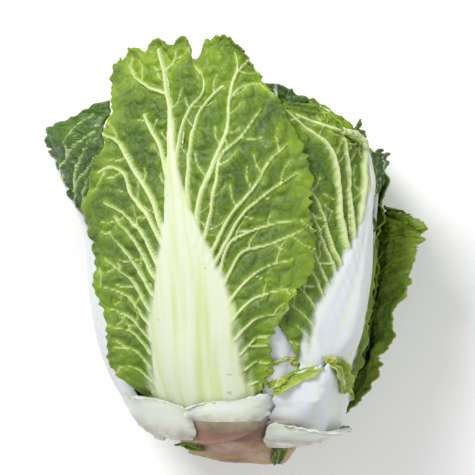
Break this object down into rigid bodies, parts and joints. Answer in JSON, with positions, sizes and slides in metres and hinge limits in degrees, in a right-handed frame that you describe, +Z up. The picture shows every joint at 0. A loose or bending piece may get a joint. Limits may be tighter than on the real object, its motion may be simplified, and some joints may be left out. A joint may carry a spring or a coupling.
{
  "type": "napa cabbage",
  "caption": "Head of napa cabbage lying on its side: overlapping crinkled green leaves with broad white ribs round a trimmed stem.",
  "frame": {"origin": "centre of the footprint's bounding box, on the surface the head lies on", "axes": "+Y from the cut stem to the leaf tips, +Z up, +X to the right as seen from above with the tips away"},
  "size_m": [0.2568, 0.2902, 0.1598],
  "materials": {
    "stem": "matte, slightly moist cut",
    "petiole": "satin, waxy",
    "leaf": "satin, waxy",
    "dark_leaf": "semi-gloss, waxy and puckered",
    "inner_leaf": "satin, waxy"
  },
  "bodies": {
    "root": {"stem": "stem", "torn_leaf": "petiole", "left_stub": "petiole", "middle_stub": "petiole", "right_stub": "petiole", "under_stub": "petiole", "front_leaf": "leaf", "right_leaf": "leaf", "second_leaf": "leaf", "under_leaf_left": "leaf", "under_leaf_right": "leaf", "cover_leaf_1": "leaf", "cover_leaf_2": "leaf", "cover_leaf_3": "leaf", "cover_leaf_4": "leaf", "left_leaf": "dark_leaf", "right_ruffled_leaf": "dark_leaf", "right_shoulder_leaf": "dark_leaf", "wrap_leaf_1": "inner_leaf", "wrap_leaf_2": "inner_leaf", "wrap_leaf_3": "inner_leaf", "middle_leaf_1": "inner_leaf", "middle_leaf_2": "inner_leaf", "middle_leaf_3": "inner_leaf", "inner_leaf_1": "inner_leaf", "inner_leaf_2": "inner_leaf", "heart_leaf_1": "inner_leaf", "heart_leaf_2": "inner_leaf"}
  },
  "joints": []
}
